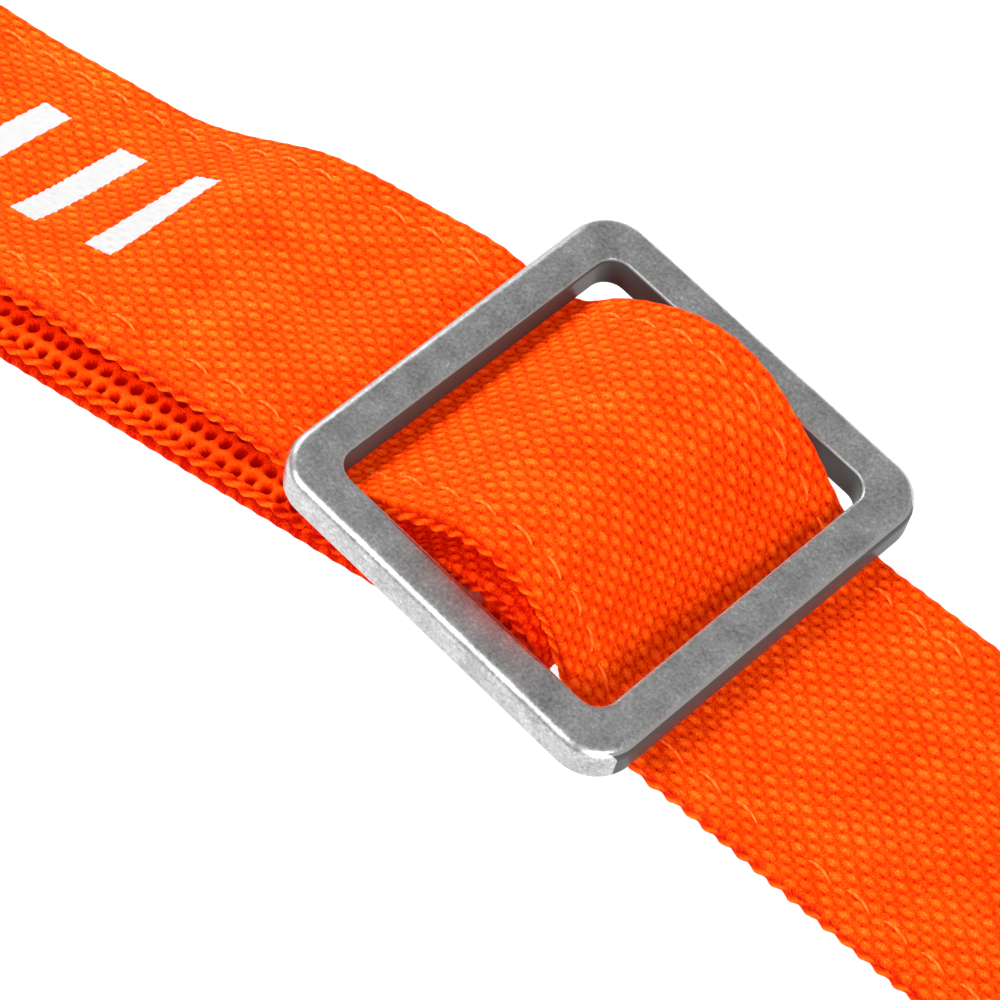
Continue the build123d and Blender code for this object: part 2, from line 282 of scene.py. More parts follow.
def place(row, across, height):
    """Points of the strap, from row number, distance from the middle and height over the face."""
    height = height + fold_height(row, across)
    row = np.clip(row, 0, ROWS - 1.001)
    low = row.astype(int)
    part = (row - low)[..., None]
    far = FAR[low] * (1 - part) + FAR[low + 1] * part
    near = NEAR[low] * (1 - part) + NEAR[low + 1] * part
    back = np.clip(low - NORMAL_REACH, 0, ROWS - 1)
    ahead = np.clip(low + 1 + NORMAL_REACH, 0, ROWS - 1)
    share = (across / WEB_WIDTH + 0.5)[..., None]
    along = (FAR[ahead] - FAR[back]) * share + (NEAR[ahead] - NEAR[back]) * (1 - share)
    width = far - near
    normal = np.cross(width, along)
    normal /= np.linalg.norm(normal, axis=-1, keepdims=True)
    return near + width * share + normal * height[..., None]


# ---- meshes ----


def mesh_object(name, points, faces, uv=None, attributes=None):
    """A smooth mesh from points in millimetres and quads or triangles as an array."""
    mesh = bpy.data.meshes.new(name)
    flat = np.asarray(points, np.float32).reshape(-1, 3) * MM
    mesh.vertices.add(len(flat))
    mesh.vertices.foreach_set("co", flat.ravel())
    sides = faces.shape[1]
    mesh.loops.add(faces.size)
    mesh.loops.foreach_set("vertex_index", faces.ravel().astype(np.int32))
    mesh.polygons.add(len(faces))
    mesh.polygons.foreach_set("loop_start", np.arange(0, faces.size, sides, dtype=np.int32))
    if uv is not None:
        layer = mesh.uv_layers.new(name="Weave")
        layer.data.foreach_set("uv", uv.reshape(-1, 2)[faces.ravel()].astype(np.float32).ravel())
    for key, values in (attributes or {}).items():
        attribute = mesh.attributes.new(key, "FLOAT", "POINT")
        attribute.data.foreach_set("value", values.astype(np.float32).ravel())
    mesh.update(calc_edges=True)
    mesh.validate()
    mesh.shade_smooth()
    made = bpy.data.objects.new(name, mesh)
    bpy.context.scene.collection.objects.link(made)
    return made


def grid_faces(rows, columns, closed):
    """Quads of a grid whose columns may close on themselves."""
    wide = columns if closed else columns - 1
    i, j = np.meshgrid(np.arange(rows - 1), np.arange(wide), indexing="ij")
    right = (j + 1) % columns
    row, following = i * columns, (i + 1) * columns
    return np.stack([row + j, row + right, following + right, following + j], -1).reshape(-1, 4)


def hashed(i, j, seed):
    """A repeatable random number from 0 to 1 for each crossing of the weave."""
    value = np.sin(i * 12.9898 + j * 78.233 + seed * 37.719) * 43758.5453
    return value - np.floor(value)


def slow_noise(s, t, scale, seed):
    """A smooth random surface, from -1 to 1, by blending the hashed values of a square grid."""
    u, v = s / scale, t / scale
    i, j = np.floor(u), np.floor(v)
    fu, fv = u - i, v - j
    fu, fv = fu * fu * (3 - 2 * fu), fv * fv * (3 - 2 * fv)
    low = hashed(i, j, seed) * (1 - fu) + hashed(i + 1, j, seed) * fu
    high = hashed(i, j + 1, seed) * (1 - fu) + hashed(i + 1, j + 1, seed) * fu
    return (low * (1 - fv) + high * fv) * 2 - 1


# ---- weave ----

# How far the yarns wander along and across, and over what distance
WANDER_ALONG, WANDER_ALONG_SPAN = 0.10, 1.7
WANDER_ACROSS, WANDER_ACROSS_SPAN = 0.06, 2.3
# Half length and half width in pitches, and level, of a dome where the warp is over or under
OVER_DOME = (0.74, 0.62, 0.84)
UNDER_DOME = (0.46, 0.58, 0.58)
DOME_SLANT = 0.16
DOME_UNEVEN = 0.16
MEAN_DOME = 0.75
SEAM_REACH = 0.45
SEAM_PULL = 0.12
SEAM_SWING = 0.06
RIPPLE, RIPPLE_SPAN = 0.08, 6.0
# The rounded rim of the face carries part of the weave's relief
RIM_WEAVE = 0.45
RIM_BULGE = 0.8
RIM_CREST = 0.45
SCALLOP = 0.05
UNDER_INSET = 0.2


def woven_height(s, t):
    """Plain weave, 0 to 1: long domes where warps pass over wefts, lower short ones where under."""
    s = s + WANDER_ALONG * slow_noise(s, t, WANDER_ALONG_SPAN, 1)
    t = t + WANDER_ACROSS * slow_noise(s, t, WANDER_ACROSS_SPAN, 2)
    u, v = s / WEFT_PITCH, t / WARP_PITCH
    height = 0.0 * s
    for a, b in ((0, 0), (1, 1), (0, 1), (1, 0)):
        i, j = 2 * np.round((u - a) / 2) + a, 2 * np.round((v - b) / 2) + b
        half_length, half_width, dome_level = OVER_DOME if a == b else UNDER_DOME
        along = (u - i + DOME_SLANT * (v - j)) / half_length
        across = (v - j) / half_width
        dome = np.sqrt(np.clip(1 - along * along - across * across, 0, 1))
        height = np.maximum(height, dome * (dome_level + DOME_UNEVEN * hashed(i, j, 3)))
    return height


def seam_dip(s, t):
    """The rows of stitches pull the face in, more at each stitch's ends than between them."""
    off = (np.abs(t) - (HALF_WIDTH - STITCH_INSET)) / SEAM_REACH
    pull = SEAM_PULL + SEAM_SWING * np.cos(2 * np.pi * s / STITCH_PITCH)
    return -pull * np.exp(-off * off)


def shade(name, across):
    """How much painted shade a stretch gets, from 0 to 1, where the layers above keep the light off it.
    """
    if name == "loop":
        return 0 * across + LOOP_SHADE
    if name == "lower_run":
        return np.clip((across + HALF_WIDTH - SHADE_START) / SHADE_REACH, 0, 1)
    return 0 * across


def face_ply(name):
    """The woven face of a stretch, closed round its edges, with the weave in the surface."""
    first, last = stretch_rows(name)
    rows = np.arange(first, last + 1)
    flat = np.linspace(-FACE_REACH, FACE_REACH, 38 * SAMPLES + 1)
    turn = np.radians(np.linspace(70, -70, 6))
    radius = FACE_THICKNESS / 2
    rim_across = FACE_REACH + radius * np.cos(turn) * RIM_BULGE
    rim_height = -radius + radius * np.sin(turn)
    under = np.linspace(FACE_REACH - UNDER_INSET, -FACE_REACH + UNDER_INSET, 6)
    across = np.concatenate([flat, rim_across, under, -rim_across[::-1]])
    height = np.concatenate([flat * 0, rim_height, under * 0 - FACE_THICKNESS, rim_height[::-1]])
    rim_weave = rim_across * 0 + RIM_WEAVE
    weave = np.concatenate([flat * 0 + 1, rim_weave, under * 0, rim_weave])
    row, across = np.meshgrid(rows, across, indexing="ij")
    s = row * ROW_STEP
    bumps = woven_height(s, across)
    ripple = RIPPLE * slow_noise(s, across, RIPPLE_SPAN, 5)
    lift = height + weave * (DOME_HEIGHT * (bumps - MEAN_DOME) + seam_dip(s, across) + ripple)
    scallop = SCALLOP * np.cos(2 * np.pi * s / (2 * WEFT_PITCH)) * (np.abs(across) > FACE_REACH)
    spread = across + np.sign(across) * scallop
    points = place(row.astype(float), spread, lift)
    uv = np.stack([s, across], -1)
    # Painted shade: the face's turned-under side and the covered stretches are drawn lower on the colour
    # ramp, deeper red
    turned_under = -height / FACE_THICKNESS
    dark = np.maximum(shade(name, across), turned_under)
    crest = np.where(weave > 0, bumps, RIM_CREST) - SHADE_DEPTH * dark
    faces = grid_faces(len(rows), across.shape[1], True)
    return mesh_object(f"{name}_woven_face", points, faces, uv, {"Crest": crest})


# ---- backing net, edge cords and stitches ----

NET_WANDER, NET_ALONG_SPAN, NET_ACROSS_SPAN = 0.12, 2.1, 1.9
HOLE_RADIUS = 0.44
HOLE_DEPTH = 0.85
HOLE_SLOPE, HOLE_FLOOR = 2.4, 0.2
STRAND_RISE, STRAND_SINK = 0.30, 0.2
STRAND_START, STRAND_REACH, STRAND_SHAPE = 0.9, 0.7, 0.6
FUZZ, FUZZ_SPAN = 0.10, 0.55
TAPER, TAPER_REACH = 0.5, 0.8
NET_COLUMNS = 110
NET_LIFT = 0.05
PLY_GAP = 0.02
NET_CREST = 0.75
CORD_SHADOW_REACH = 0.4
CORD_RADIUS, CORD_LOBE, CORD_FUZZ, CORD_FUZZ_SPAN = 0.36, 0.12, 0.05, 0.9
CORD_INSET = 0.62
CORD_LIFT = 0.44
CORD_CREST, CORD_CREST_SWING = 0.55, 0.40
STITCH_WANDER = 0.12
STITCH_SLANT = 0.30
STITCH_BOW = 0.12
STITCH_RISE, STITCH_SINK = 0.24, 0.20
THREAD_END, THREAD_SHAPE = 0.35, 0.4


def mesh_radius(s, t):
    """Distance from the nearest hole of the backing's net, 1 at the hole's rim."""
    s = s + NET_WANDER * slow_noise(s, t, NET_ALONG_SPAN, 11)
    t = t + NET_WANDER * slow_noise(s, t, NET_ACROSS_SPAN, 12)
    row = np.round(t / MESH_ROW)
    u = s / MESH_PITCH + 0.5 * (row % 2)
    along = (u - np.round(u)) * MESH_PITCH / HOLE_RADIUS
    across = (t - row * MESH_ROW) / HOLE_RADIUS
    return np.sqrt(along * along + across * across)


def backing_ply(name):
    """The net behind the face, with a pit for each hole."""
    first, last = stretch_rows(name)
    rows = np.arange(first, last + 1)
    flat = np.linspace(MESH_REACH, -MESH_REACH, NET_COLUMNS)
    inner = np.linspace(-MESH_REACH, MESH_REACH, 5)
    across = np.concatenate([flat, inner])
    outer = np.concatenate([flat * 0 + 1, inner * 0])
    row, across = np.meshgrid(rows, across, indexing="ij")
    s = row * ROW_STEP
    away = mesh_radius(s, across)
    hole = np.clip((1 - away) * HOLE_SLOPE + HOLE_FLOOR, 0, 1)
    round_strand = np.clip((away - STRAND_START) / STRAND_REACH, 0, 1) ** STRAND_SHAPE
    fuzz = FUZZ * slow_noise(s, across, FUZZ_SPAN, 13)
    strand = STRAND_RISE * round_strand - STRAND_SINK + fuzz
    taper = TAPER * np.clip((np.abs(across) - MESH_REACH) / TAPER_REACH + 1, 0, 1) ** 2
    net = -WEB_THICKNESS + NET_LIFT + HOLE_DEPTH * hole + taper - strand
    depth = np.where(outer > 0, net, -FACE_THICKNESS - PLY_GAP)
    points = place(row.astype(float), across, depth)
    uv = np.stack([s, across], -1)
    faces = grid_faces(len(rows), across.shape[1], True)
    # Painted shadow of the edge cord on the net beside it, and painted shade under the other layers
    behind_cord = np.clip((np.abs(across) - MESH_REACH) / CORD_SHADOW_REACH + 1, 0, 1)
    dark = np.maximum(shade(name, across), behind_cord)
    # Painted shade in the net's holes, which show only shadow, and lighter raised strands
    crest = NET_CREST - hole * outer + strand - SHADE_DEPTH * dark
    return mesh_object(f"{name}_net_backing", points, faces, uv, {"Crest": crest})


def selvage(name, side):
    """The twisted edge cord of the backing, two strands round each other."""
    first, last = stretch_rows(name)
    rows = np.arange(first, last + 1)
    turn = np.linspace(2 * np.pi, 0, 13)[:-1]
    row, turn = np.meshgrid(rows, turn, indexing="ij")
    s = row * ROW_STEP
    twist = np.cos(2 * (turn - 2 * np.pi * s / CORD_TWIST))
    fuzz = CORD_FUZZ * slow_noise(s, turn, CORD_FUZZ_SPAN, 14)
    radius = CORD_RADIUS + CORD_LOBE * twist + fuzz
    across = side * (HALF_WIDTH - CORD_INSET) + radius * np.cos(turn)
    height = -WEB_THICKNESS + CORD_LIFT + radius * np.sin(turn)
    points = place(row.astype(float), across, height)
    uv = np.stack([s, across], -1)
    faces = grid_faces(len(rows), turn.shape[1], True)
    which = "far" if side > 0 else "near"
    # Painted shade and highlight: the cord is lighter on each strand's swell, darker between, and darker
    # under the other layers
    crest = CORD_CREST + CORD_CREST_SWING * twist - SHADE_DEPTH * shade(name, across)
    return mesh_object(f"{name}_selvage_{which}", points, faces, uv, {"Crest": crest})


def tube(path, radius, around=8):
    """Points of a round tube along a path, and its quads."""
    along = np.gradient(path, axis=0)
    along /= np.linalg.norm(along, axis=1, keepdims=True)
    side = np.cross(along, [0.0, 0.0, 1.0])
    side /= np.maximum(np.linalg.norm(side, axis=1, keepdims=True), 1e-6)
    up = np.cross(side, along)
    turn = np.linspace(2 * np.pi, 0, around + 1)[:-1]
    ring = side[:, None] * np.cos(turn)[None, :, None] + up[:, None] * np.sin(turn)[None, :, None]
    return path[:, None] + ring * np.asarray(radius)[:, None, None], grid_faces(len(path), around, True)


def thread_piece(name, paths):
    """One mesh of many short lengths of thread that dive into the cloth at both ends."""
    points, faces, start = [], [], 0
    for path in paths:
        share = np.linspace(0, 1, len(path))
        swell = (1 - THREAD_END) * np.sin(np.pi * share) ** THREAD_SHAPE
        radius = THREAD_RADIUS * (THREAD_END + swell)
        made, quads = tube(path, radius)
        points.append(made.reshape(-1, 3))
        faces.append(quads + start)
        start += made.shape[0] * made.shape[1]
    return mesh_object(name, np.vstack(points), np.vstack(faces))


def stitch_rows(name):
    """Running stitches along both edges of a stretch, a little slanted."""
    first, last = stretch_rows(name)
    sunk = CROWN_SINK if name == "crown" else 0.0
    paths = []
    for side in (-1, 1):
        line = side * (HALF_WIDTH - STITCH_INSET)
        count = int(last * ROW_STEP / STITCH_PITCH)
        for k in range(int(first * ROW_STEP / STITCH_PITCH) + 1, count):
            share = np.linspace(-0.5, 0.5, 9)
            wander = STITCH_WANDER * (hashed(k, side, 7) - 0.5)
            s = (k + 0.5) * STITCH_PITCH + share * STITCH_LENGTH
            across = line + wander + share * STITCH_SLANT + STITCH_BOW * np.cos(np.pi * share)
            arch = np.sqrt(np.clip(np.cos(np.pi * share), 0, 1))
            height = STITCH_RISE * arch - STITCH_SINK - sunk
            paths.append(place(s / ROW_STEP, across, height))
    return thread_piece(f"{name}_edge_stitches", paths)


# ---- materials ----

# Painted glow: the cloth, its print and the thread give off light in their own colour, even in shade,
# which lifts their shade; the tint makes the cloth's glow redder than its colour
PAINTED_GLOW = 0.42
PAINTED_GLOW_TINT = (1.2, 0.75, 0.6)
# Painted highlight: SPARKLE is a glint put on the highest crests of the weave
SPARKLE = (0.92, 0.18, 0.02)
PRINT_WHITE = (0.31, 0.31, 0.31)
# Painted highlight for the rounded rims of the slide's window and ends, and painted shade for their
# walls
RIM_HIGHLIGHT_GREY = (0.20, 0.205, 0.20)
WALL_SHADE_DARK = (0.050, 0.064, 0.062)
# Lit and shaded copies of the cloth's orange for the ramp: the deep reds are painted shade in the
# hollows and under other layers, the light oranges painted highlight on lit crests
DEEP_RED = (0.34, 0.002, 0.0)
ORANGE = (0.60, 0.028, 0.0)
LIGHT_ORANGE = (0.80, 0.086, 0.003)
NET_DEEP = (0.32, 0.002, 0.0)
NET_ORANGE = (0.68, 0.034, 0.0)
NET_LIGHT = (0.88, 0.12, 0.005)
THREAD_DARK = (0.80, 0.065, 0.005)
THREAD_LIGHT = (0.88, 0.13, 0.014)
METAL_SPECK = (0.95, 0.95, 0.95)
# Where the ramp's middle colour and lit crest colour sit, and how much the weave's height counts toward
# the painted shade and highlight
MIDDLE_AT, CREST_AT, CREST_SHARE = 0.42, 0.82, 0.86
FADING = 0.4
# A face belongs to an end if it faces the strap's sides by less than the first of these, and it is part
# of the rim, with painted highlight, or the wall, with painted shade, if it faces the slide's top by
# less than the second or the third
END_FACING, RIM_FACING, WALL_FACING = 0.4, 0.8, 0.6


def node_material(name):
    made = bpy.data.materials.new(name)
    made.use_nodes = True
    nodes = made.node_tree.nodes
    return made, nodes, made.node_tree.links, nodes["Principled BSDF"]


def ramp(nodes, stops):
    made = nodes.new("ShaderNodeValToRGB")
    elements = made.color_ramp.elements
    while len(elements) < len(stops):
        elements.new(0.5)
    for element, (place_at, colour) in zip(elements, stops):
        element.position = place_at
        element.color = (*colour, 1)
    return made


def uv_noise(nodes, links, stretch, scale, detail=3.0):
    """Noise that follows the strap's own length and width, so that it looks spun into the yarn."""
    source = nodes.new("ShaderNodeUVMap")
    source.uv_map = "Weave"
    mapping = nodes.new("ShaderNodeMapping")
    mapping.inputs["Scale"].default_value = (*stretch, 1)
    noise = nodes.new("ShaderNodeTexNoise")
    noise.inputs["Scale"].default_value = scale
    noise.inputs["Detail"].default_value = detail
    links.new(source.outputs["UV"], mapping.inputs["Vector"])
    links.new(mapping.outputs["Vector"], noise.inputs["Vector"])
    return noise


def math_node(nodes, links, operation, first, second):
    """A maths node on two inputs, each a socket or a number."""
    made = nodes.new("ShaderNodeMath")
    made.operation = operation
    for socket, value in zip(made.inputs, (first, second)):
        if isinstance(value, (int, float)):
            socket.default_value = value
        else:
            links.new(value, socket)
    return made.outputs[0]


def cloth_material(name, deep, middle, crest, fibre):
    """Yarn of one orange: redder and darker between the yarns as painted shade, lighter on their crests
    as painted highlight, with fine fibres.
    """
    made, nodes, links, shader = node_material(name)
    height = nodes.new("ShaderNodeAttribute")
    height.attribute_name = "Crest"
    colour = ramp(nodes, [(0.0, deep), (MIDDLE_AT, middle), (CREST_AT, crest), (1.0, SPARKLE)])
    fibres = uv_noise(nodes, links, (1.0, 1.8), 5.0, 4.0)
    fibres.inputs["Roughness"].default_value = 0.75
    patches = uv_noise(nodes, links, (1.0, 1.0), 0.22)
    off_fibre = math_node(nodes, links, "SUBTRACT", fibres.outputs["Fac"], 0.5)
    spun = math_node(nodes, links, "MULTIPLY", off_fibre, fibre)
    off_patch = math_node(nodes, links, "SUBTRACT", patches.outputs["Fac"], 0.5)
    faded = math_node(nodes, links, "MULTIPLY", off_patch, FADING)
    both = math_node(nodes, links, "ADD", spun, faded)
    level_here = math_node(nodes, links, "MULTIPLY", height.outputs["Fac"], CREST_SHARE)
    links.new(math_node(nodes, links, "ADD", both, level_here), colour.inputs["Fac"])
    links.new(colour.outputs["Color"], shader.inputs["Base Color"])
    # Painted glow: the cloth's colour, tinted redder, is given off as light that lifts its shade
    painted_glow = nodes.new("ShaderNodeMix")
    painted_glow.data_type = "RGBA"
    painted_glow.blend_type = "MULTIPLY"
    painted_glow.inputs[0].default_value = 1.0
    painted_glow.inputs[7].default_value = (*PAINTED_GLOW_TINT, 1)
    links.new(colour.outputs["Color"], painted_glow.inputs[6])
    links.new(painted_glow.outputs[2], shader.inputs["Emission Color"])
    shader.inputs["Emission Strength"].default_value = PAINTED_GLOW
    bump = nodes.new("ShaderNodeBump")
    bump.inputs["Strength"].default_value = 0.9
    bump.inputs["Distance"].default_value = 0.12 * MM
    links.new(fibres.outputs["Fac"], bump.inputs["Height"])
    links.new(bump.outputs["Normal"], shader.inputs["Normal"])
    shader.inputs["Roughness"].default_value = 0.7
    shader.inputs["Specular IOR Level"].default_value = 0.02
    return made


def cover(nodes, links, mask, socket, colour):
    """Lay one plain colour over whatever feeds a socket, where the mask is 1."""
    mixing = nodes.new("ShaderNodeMix")
    mixing.data_type = "RGBA"
    links.new(mask, mixing.inputs[0])
    links.new(socket.links[0].from_socket, mixing.inputs[6])
    mixing.inputs[7].default_value = (*colour, 1)
    links.new(mixing.outputs[2], socket)


def print_bars(material):
    """Plain white bars printed across the upper layer, where the strap carries its lettering."""
    nodes, links = material.node_tree.nodes, material.node_tree.links
    shader = nodes["Principled BSDF"]
    source = nodes.new("ShaderNodeUVMap")
    source.uv_map = "Weave"
    split = nodes.new("ShaderNodeSeparateXYZ")
    links.new(source.outputs["UV"], split.inputs["Vector"])
    start = STARTS["upper_run"] * ROW_STEP + PRINT_START
    from_start = math_node(nodes, links, "SUBTRACT", split.outputs["X"], start)
    in_row = math_node(nodes, links, "LESS_THAN", from_start, PRINT_COUNT * PRINT_PITCH)
    begun = math_node(nodes, links, "GREATER_THAN", from_start, 0.0)
    into_bar = math_node(nodes, links, "MODULO", from_start, PRINT_PITCH)
    within = math_node(nodes, links, "LESS_THAN", into_bar, PRINT_BAR)
    from_middle = math_node(nodes, links, "ABSOLUTE", split.outputs["Y"], 0.0)
    reach = math_node(nodes, links, "LESS_THAN", from_middle, PRINT_HALF)
    mask = math_node(nodes, links, "MULTIPLY", in_row, begun)
    mask = math_node(nodes, links, "MULTIPLY", mask, within)
    mask = math_node(nodes, links, "MULTIPLY", mask, reach)
    # The print takes over the painted glow too, in its own white
    for key in ("Base Color", "Emission Color"):
        cover(nodes, links, mask, shader.inputs[key], PRINT_WHITE)


def thread_material():
    made, nodes, links, shader = node_material("sewing_thread")
    source = nodes.new("ShaderNodeTexCoord")
    wave = nodes.new("ShaderNodeTexWave")
    wave.bands_direction = "DIAGONAL"
    wave.inputs["Scale"].default_value = 900
    colour = ramp(nodes, [(0.0, THREAD_DARK), (1.0, THREAD_LIGHT)])
    links.new(source.outputs["Object"], wave.inputs["Vector"])
    links.new(wave.outputs["Fac"], colour.inputs["Fac"])
    links.new(colour.outputs["Color"], shader.inputs["Base Color"])
    # Painted glow: the thread gives off light in its own colours, lifting its shade
    links.new(colour.outputs["Color"], shader.inputs["Emission Color"])
    shader.inputs["Emission Strength"].default_value = PAINTED_GLOW
    shader.inputs["Roughness"].default_value = 0.6
    shader.inputs["Specular IOR Level"].default_value = 0.1
    return made


def metal_material(name, dark, light, rough_low, rough_high, grain):
    """Tumbled metal: fine mottling with lighter specks."""
    made, nodes, links, shader = node_material(name)
    source = nodes.new("ShaderNodeTexCoord")
    fine = nodes.new("ShaderNodeTexNoise")
    fine.inputs["Scale"].default_value = grain
    fine.inputs["Detail"].default_value = 6
    fine.inputs["Roughness"].default_value = 0.75
    links.new(source.outputs["Object"], fine.inputs["Vector"])
    broad = nodes.new("ShaderNodeTexNoise")
    broad.inputs["Scale"].default_value = grain / 9
    broad.inputs["Detail"].default_value = 4
    links.new(source.outputs["Object"], broad.inputs["Vector"])
    mottle = math_node(nodes, links, "MULTIPLY", broad.outputs["Fac"], 0.45)
    both = math_node(nodes, links, "ADD", mottle, fine.outputs["Fac"])
    greys = [(0.50, (dark, dark, dark)), (0.85, (light, light, light)), (0.95, METAL_SPECK)]
    colour = ramp(nodes, greys)
    links.new(both, colour.inputs["Fac"])
    links.new(colour.outputs["Color"], shader.inputs["Base Color"])
    rough = nodes.new("ShaderNodeMapRange")
    rough.inputs["To Min"].default_value = rough_low
    rough.inputs["To Max"].default_value = rough_high
    links.new(fine.outputs["Fac"], rough.inputs["Value"])
    links.new(rough.outputs["Result"], shader.inputs["Roughness"])
    bump = nodes.new("ShaderNodeBump")
    bump.inputs["Strength"].default_value = 0.4
    bump.inputs["Distance"].default_value = 0.03 * MM
    links.new(fine.outputs["Fac"], bump.inputs["Height"])
    links.new(bump.outputs["Normal"], shader.inputs["Normal"])
    shader.inputs["Metallic"].default_value = 1.0
    return made


def facing_share(nodes, links, normal, direction):
    """How squarely a surface faces a direction or its opposite, from 0 to 1."""
    dot = nodes.new("ShaderNodeVectorMath")
    dot.operation = "DOT_PRODUCT"
    dot.inputs[1].default_value = direction
    links.new(normal, dot.inputs[0])
    return math_node(nodes, links, "ABSOLUTE", dot.outputs["Value"], 0.0)


def paint_wall_shade_and_rim_highlight(material):
    """Give the walls of the slide's window and of its two ends painted shade, a dark non-metallic colour
    that mirrors nothing, and their rounded rims a plain grey painted highlight.
    """
    nodes, links = material.node_tree.nodes, material.node_tree.links
    shader = nodes["Principled BSDF"]
    source = nodes.new("ShaderNodeTexCoord")
    mapping = nodes.new("ShaderNodeMapping")
    mapping.vector_type = "TEXTURE"
    mapping.inputs["Location"].default_value = (ORIGIN_X * MM, ORIGIN_Y * MM, CENTRE_HEIGHT * MM)
    mapping.inputs["Rotation"].default_value = (0, TILT, 0)
    split = nodes.new("ShaderNodeSeparateXYZ")
    links.new(source.outputs["Object"], mapping.inputs["Vector"])
    links.new(mapping.outputs["Vector"], split.inputs["Vector"])
    off_x = math_node(nodes, links, "ABSOLUTE", split.outputs["X"], 0.0)
    off_y = math_node(nodes, links, "ABSOLUTE", split.outputs["Y"], 0.0)
    in_x = math_node(nodes, links, "LESS_THAN", off_x, WINDOW_X * MM)
    in_y = math_node(nodes, links, "LESS_THAN", off_y, WINDOW_Y * MM)
    in_window = math_node(nodes, links, "MULTIPLY", in_x, in_y)
    normal = source.outputs["Normal"]
    faces_side = facing_share(nodes, links, normal, (0, 1, 0))
    faces_up = facing_share(nodes, links, normal, (math.sin(TILT), 0, math.cos(TILT)))
    at_end = math_node(nodes, links, "LESS_THAN", faces_side, END_FACING)
    either = math_node(nodes, links, "MAXIMUM", in_window, at_end)
    rim_faces = math_node(nodes, links, "LESS_THAN", faces_up, RIM_FACING)
    wall_faces = math_node(nodes, links, "LESS_THAN", faces_up, WALL_FACING)
    # Painted highlight on the rims and painted shade on the walls, neither with the metal's mirror
    rim = math_node(nodes, links, "MULTIPLY", either, rim_faces)
    wall = math_node(nodes, links, "MULTIPLY", either, wall_faces)
    bare = math_node(nodes, links, "SUBTRACT", 1.0, rim)
    links.new(bare, shader.inputs["Metallic"])
    shader.inputs["Specular IOR Level"].default_value = 0.1
    cover(nodes, links, rim, shader.inputs["Base Color"], RIM_HIGHLIGHT_GREY)
    cover(nodes, links, wall, shader.inputs["Base Color"], WALL_SHADE_DARK)


FACE_CLOTH = cloth_material("woven_face", DEEP_RED, ORANGE, LIGHT_ORANGE, 2.0)
PRINTED_CLOTH = cloth_material("printed_face", DEEP_RED, ORANGE, LIGHT_ORANGE, 2.0)
print_bars(PRINTED_CLOTH)
NET_CLOTH = cloth_material("net_backing", NET_DEEP, NET_ORANGE, NET_LIGHT, 1.4)
THREAD = thread_material()
SLIDE_METAL = metal_material("tumbled_slide", 0.26, 0.66, 0.25, 0.36, 3800)
paint_wall_shade_and_rim_highlight(SLIDE_METAL)
HOOK_METAL = metal_material("satin_hook", 0.46, 0.62, 0.26, 0.40, 2600)
SPRING_METAL = metal_material("spring_wire", 0.5, 0.7, 0.15, 0.3, 3000)


# ---- the pieces of the strap ----


# Each stretch rides on one body, or is listed with two bodies and two distances along the strap; such a
# stretch is left on no body, and the distances are not used
RIDES = {
    "right_end": "right_end",
    "right_run": ("webbing", "right_end", 28, 62),
    "right_foot": ("slide", "webbing", 16.5, 25),
    "crown": "slide",
    "left_foot": ("slide", "webbing", -18, -29),
    "upper_run": ("webbing", "left_end", -34, -86),
    "left_wrap": "left_end",
    "lower_run": ("webbing", "left_end", -22, -85),
    "loop": "webbing",
}
STANDS_FOR = {
    "right_end": "right_wrap",
    "right_run": "right_run",
    "crown": "crown",
    "upper_run": "upper_run",
    "left_wrap": "left_wrap",
    "lower_run": "lower_run",
    "loop": "loop",
}


def attach(piece, name):
    ride = RIDES[name]
    if isinstance(ride, str):
        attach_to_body(piece, ride)
        return
    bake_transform(piece)


def finish_piece(piece, name, material, node_end=None):
    piece.data.materials.append(material)
    attach(piece, name)
    if node_end and name in STANDS_FOR:
        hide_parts(f"{STANDS_FOR[name]}_{node_end}")


def build_stretch(name):
    cloth = PRINTED_CLOTH if name == "upper_run" else FACE_CLOTH
    finish_piece(face_ply(name), name, cloth, "face")
    finish_piece(backing_ply(name), name, NET_CLOTH, "mesh")
    for side in (-1, 1):
        finish_piece(selvage(name, side), name, NET_CLOTH)
    if name != "loop":
        stitches = stitch_rows(name)
        finish_piece(stitches, name, THREAD)
        if name in ("right_run", "upper_run"):
            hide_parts(f"{name}_stitches")


for stretch_name in ROUTE:
    build_stretch(stretch_name)

# ---- metal and thread that the frame already holds ----


def paint(material, *nodes):
    for node in nodes:
        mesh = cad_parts[node].data
        mesh.materials.clear()
        mesh.materials.append(material)


paint(SLIDE_METAL, "slide_frame")
paint(HOOK_METAL, "centre_bar")
for side_name in ("right", "left"):
    paint(HOOK_METAL, *[f"{side_name}_{part}" for part in ("eye", "hook_body", "stem_washer", "gate")])
    paint(SPRING_METAL, *[f"{side_name}_{part}" for part in ("gate_pin", "gate_spring")])
paint(THREAD, "loop_bartacks", "right_box_stitch")


# ---- studio ----

FLOOR_SIZE = 4.0
FLOOR_DROP = 0.3 * MM
VIEW_AZIMUTH = math.radians(44.17)
VIEW_ELEVATION = math.radians(49.39)
VIEW_DISTANCE = 301.2
VIEW_RIGHT = 7.12
VIEW_UP = 0.92
FOCAL_LENGTH = 155.5


def studio_floor():
    half = FLOOR_SIZE / 2 / MM
    corners = np.array([(-half, -half, 0), (half, -half, 0), (half, half, 0), (-half, half, 0)], float)
    corners[:, 2] = -FLOOR_DROP / MM
    floor = mesh_object("studio_floor", corners, np.array([[0, 1, 2, 3]]))
    made, _, _, shader = node_material("studio_white")
    shader.inputs["Base Color"].default_value = (0.2, 0.2, 0.2, 1)
    shader.inputs["Roughness"].default_value = 0.9
    shader.inputs["Specular IOR Level"].default_value = 0.0
    shader.inputs["Emission Color"].default_value = (1, 1, 1, 1)
    shader.inputs["Emission Strength"].default_value = 0.87
    floor.data.materials.append(made)


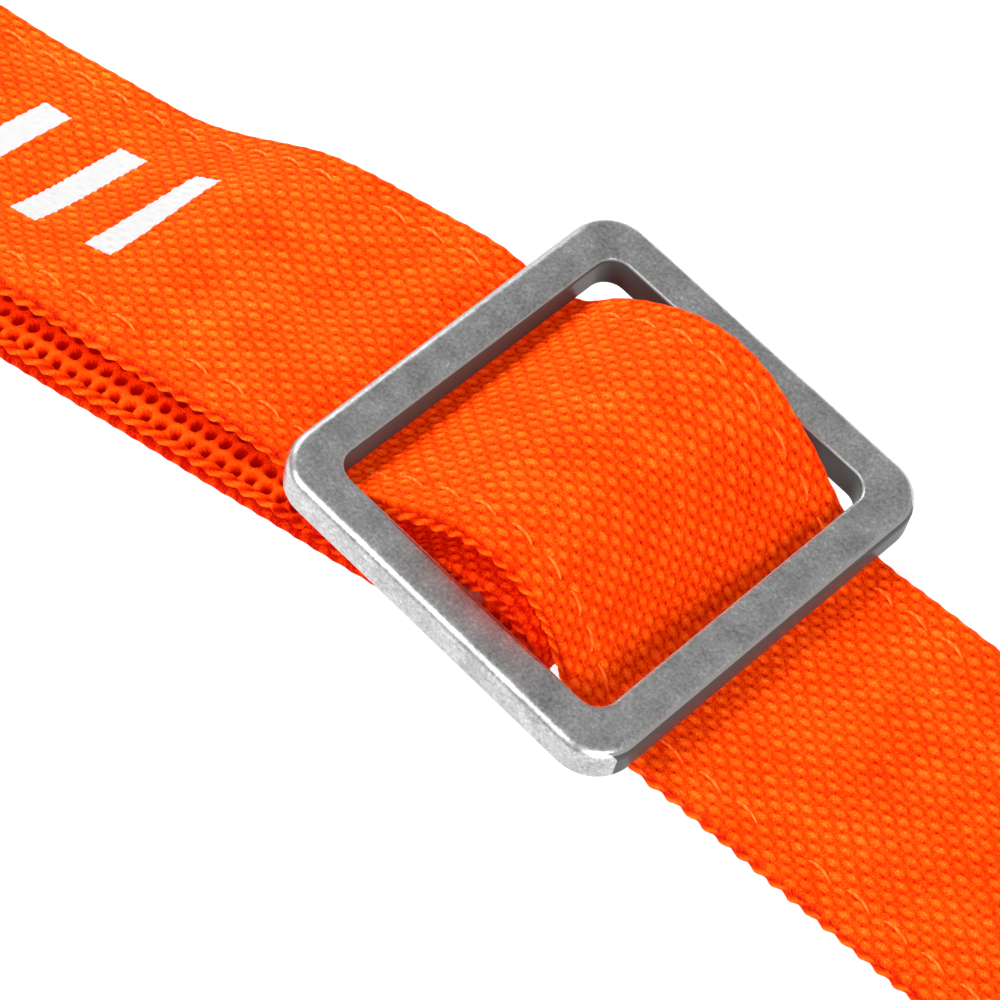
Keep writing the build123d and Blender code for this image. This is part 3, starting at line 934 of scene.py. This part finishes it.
def soft_light(name, azimuth, elevation, distance, size, power, mirrored=True):
    """A square softbox aimed at the slide. Azimuth is measured from -Y towards +X, in degrees."""
    light = bpy.data.lights.new(name, "AREA")
    light.size = size
    light.energy = power
    lamp = bpy.data.objects.new(name, light)
    a, e = math.radians(azimuth), math.radians(elevation)
    away = Vector((math.sin(a) * math.cos(e), -math.cos(a) * math.cos(e), math.sin(e)))
    lamp.location = Vector((ORIGIN_X * MM, ORIGIN_Y * MM, 0)) + away * distance
    lamp.rotation_euler = (-away).to_track_quat("-Z", "Y").to_euler()
    lamp.visible_camera = False
    lamp.visible_glossy = mirrored
    bpy.context.scene.collection.objects.link(lamp)


def studio_world():
    """Soft grey all round, darker overhead."""
    world = bpy.data.worlds.new("studio")
    bpy.context.scene.world = world
    world.use_nodes = True
    nodes, links = world.node_tree.nodes, world.node_tree.links
    source = nodes.new("ShaderNodeTexCoord")
    split = nodes.new("ShaderNodeSeparateXYZ")
    greys = [(0.0, (0.55, 0.55, 0.55)), (0.5, (0.45, 0.45, 0.45)), (1.0, (0.45, 0.45, 0.45))]
    sky = ramp(nodes, greys)
    links.new(source.outputs["Generated"], split.inputs["Vector"])
    links.new(split.outputs["Z"], sky.inputs["Fac"])
    links.new(sky.outputs["Color"], nodes["Background"].inputs["Color"])
    nodes["Background"].inputs["Strength"].default_value = 1.0


def studio_camera():
    """The camera stands in front and above, and looks past the slide's centre without roll."""
    a, e = VIEW_AZIMUTH, VIEW_ELEVATION
    look = -Vector((math.sin(a) * math.cos(e), -math.cos(a) * math.cos(e), math.sin(e)))
    right = Vector((math.cos(a), math.sin(a), 0))
    up = right.cross(look)
    centre = Vector((ORIGIN_X, ORIGIN_Y, CENTRE_HEIGHT))
    data = bpy.data.cameras.new("camera")
    data.lens = FOCAL_LENGTH
    data.clip_start = 0.01
    camera = bpy.data.objects.new("camera", data)
    camera.location = (centre - look * VIEW_DISTANCE - right * VIEW_RIGHT - up * VIEW_UP) * MM
    camera.rotation_euler = look.to_track_quat("-Z", "Y").to_euler()
    bpy.context.scene.collection.objects.link(camera)
    bpy.context.scene.camera = camera


studio_floor()
studio_world()
soft_light("key_left", -115, 50, 0.20, 0.13, 0.8, mirrored=False)
soft_light("rim_left", -105, 28, 1.0, 0.5, 2.5)
soft_light("fill_front", -25, 40, 0.9, 0.5, 3.6)
soft_light("fill_right", 60, 21, 0.9, 0.5, 8.5)
studio_camera()
bpy.context.scene.view_settings.view_transform = "Standard"
